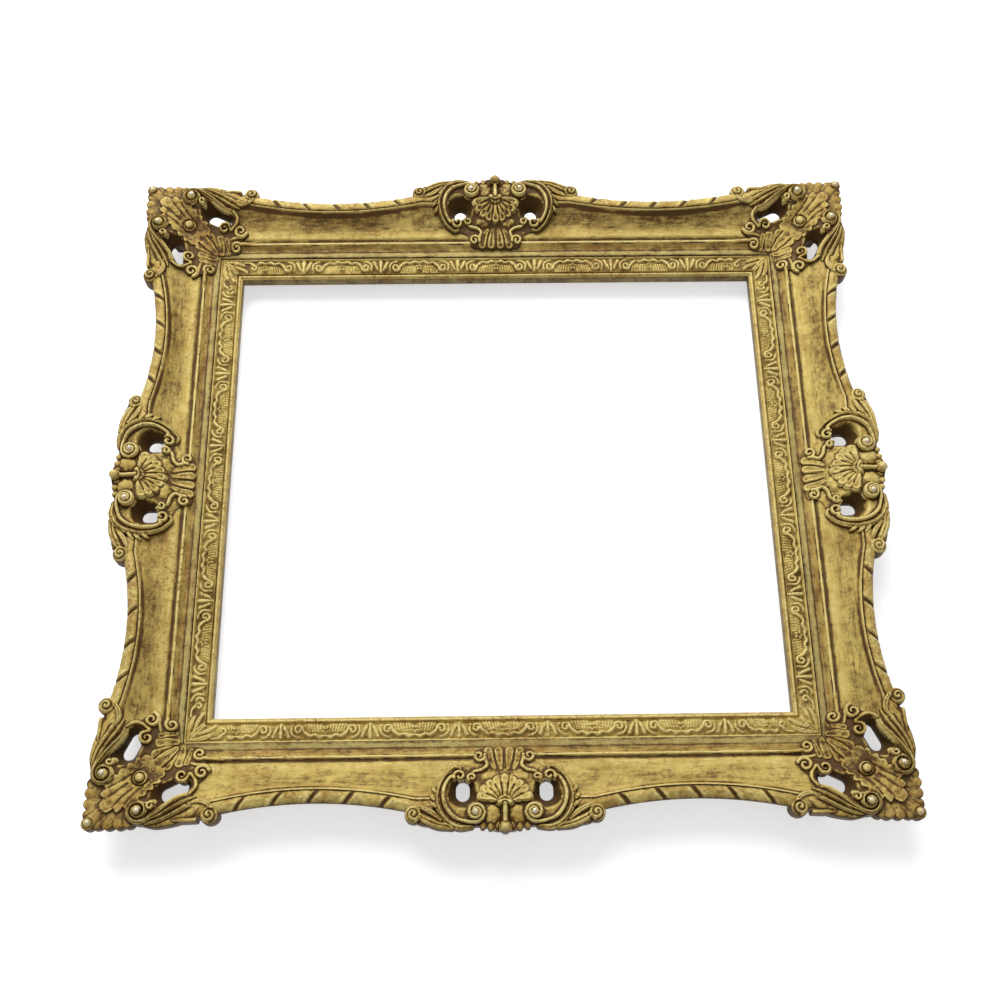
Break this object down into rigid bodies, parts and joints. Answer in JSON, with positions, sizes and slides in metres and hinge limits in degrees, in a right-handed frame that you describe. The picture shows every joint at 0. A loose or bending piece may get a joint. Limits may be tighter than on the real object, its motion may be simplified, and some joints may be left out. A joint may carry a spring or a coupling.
{
  "type": "picture frame",
  "caption": "Swept gilded picture frame with pierced scroll corners, shell centres, an ornamented sight liner, turn buttons behind the rebate and swinging hanger rings.",
  "frame": {"origin": "middle of the frame on the plane that its back rests on", "axes": "+X along the frame's width to the right as seen from its face, +Y up the frame, +Z out of its face"},
  "size_m": [0.7076, 0.6476, 0.057],
  "materials": {
    "gilded_rail": "aged matt gilding over wood",
    "gilded_liner": "aged matt gilding over wood",
    "gilded_ornament": "aged gilding over cast composition",
    "brass": "dull brass",
    "steel": "zinc-plated steel"
  },
  "bodies": {
    "frame": {"rail_top": "gilded_rail", "liner_top": "gilded_liner", "centre_cartouche_top": "gilded_ornament", "rail_bottom": "gilded_rail", "liner_bottom": "gilded_liner", "centre_cartouche_bottom": "gilded_ornament", "rail_left": "gilded_rail", "liner_left": "gilded_liner", "centre_cartouche_left": "gilded_ornament", "rail_right": "gilded_rail", "liner_right": "gilded_liner", "centre_cartouche_right": "gilded_ornament", "corner_cartouche_top_left": "gilded_ornament", "corner_cartouche_top_right": "gilded_ornament", "corner_cartouche_bottom_left": "gilded_ornament", "corner_cartouche_bottom_right": "gilded_ornament", "ribbon_top_left": "gilded_ornament", "ribbon_top_right": "gilded_ornament", "ribbon_bottom_left": "gilded_ornament", "ribbon_bottom_right": "gilded_ornament", "ribbon_left_top": "gilded_ornament", "ribbon_left_bottom": "gilded_ornament", "ribbon_right_top": "gilded_ornament", "ribbon_right_bottom": "gilded_ornament", "hanger_strap_left": "steel", "hanger_strap_right": "steel", "rail_nails": "steel", "liner_nails": "steel", "liner_brads": "steel", "cartouche_pins": "steel", "hanger_screws": "steel", "turn_button_screws": "brass"},
    "turn_button_top": {"turn_button_top": "brass"},
    "turn_button_bottom": {"turn_button_bottom": "brass"},
    "turn_button_left": {"turn_button_left": "brass"},
    "turn_button_right": {"turn_button_right": "brass"},
    "hanger_ring_left": {"hanger_ring_left": "steel"},
    "hanger_ring_right": {"hanger_ring_right": "steel"}
  },
  "joints": [
    {"name": "turn_button_top_turn", "type": "hinge", "parent": "frame", "child": "turn_button_top", "pos_m": [0, 0.235, 0.006], "axis": [0, 0, 1], "continuous": true},
    {"name": "turn_button_bottom_turn", "type": "hinge", "parent": "frame", "child": "turn_button_bottom", "pos_m": [0, -0.235, 0.006], "axis": [0, 0, 1], "continuous": true},
    {"name": "turn_button_left_turn", "type": "hinge", "parent": "frame", "child": "turn_button_left", "pos_m": [-0.265, 0, 0.006], "axis": [0, 0, 1], "continuous": true},
    {"name": "turn_button_right_turn", "type": "hinge", "parent": "frame", "child": "turn_button_right", "pos_m": [0.265, 0, 0.006], "axis": [0, 0, 1], "continuous": true},
    {"name": "hanger_ring_left_swing", "type": "hinge", "parent": "frame", "child": "hanger_ring_left", "pos_m": [-0.2865, 0.11, 0.0035], "axis": [-1, 0, 0], "range_deg": [0, 150]},
    {"name": "hanger_ring_right_swing", "type": "hinge", "parent": "frame", "child": "hanger_ring_right", "pos_m": [0.2865, 0.11, 0.0035], "axis": [-1, 0, 0], "range_deg": [0, 150]}
  ]
}
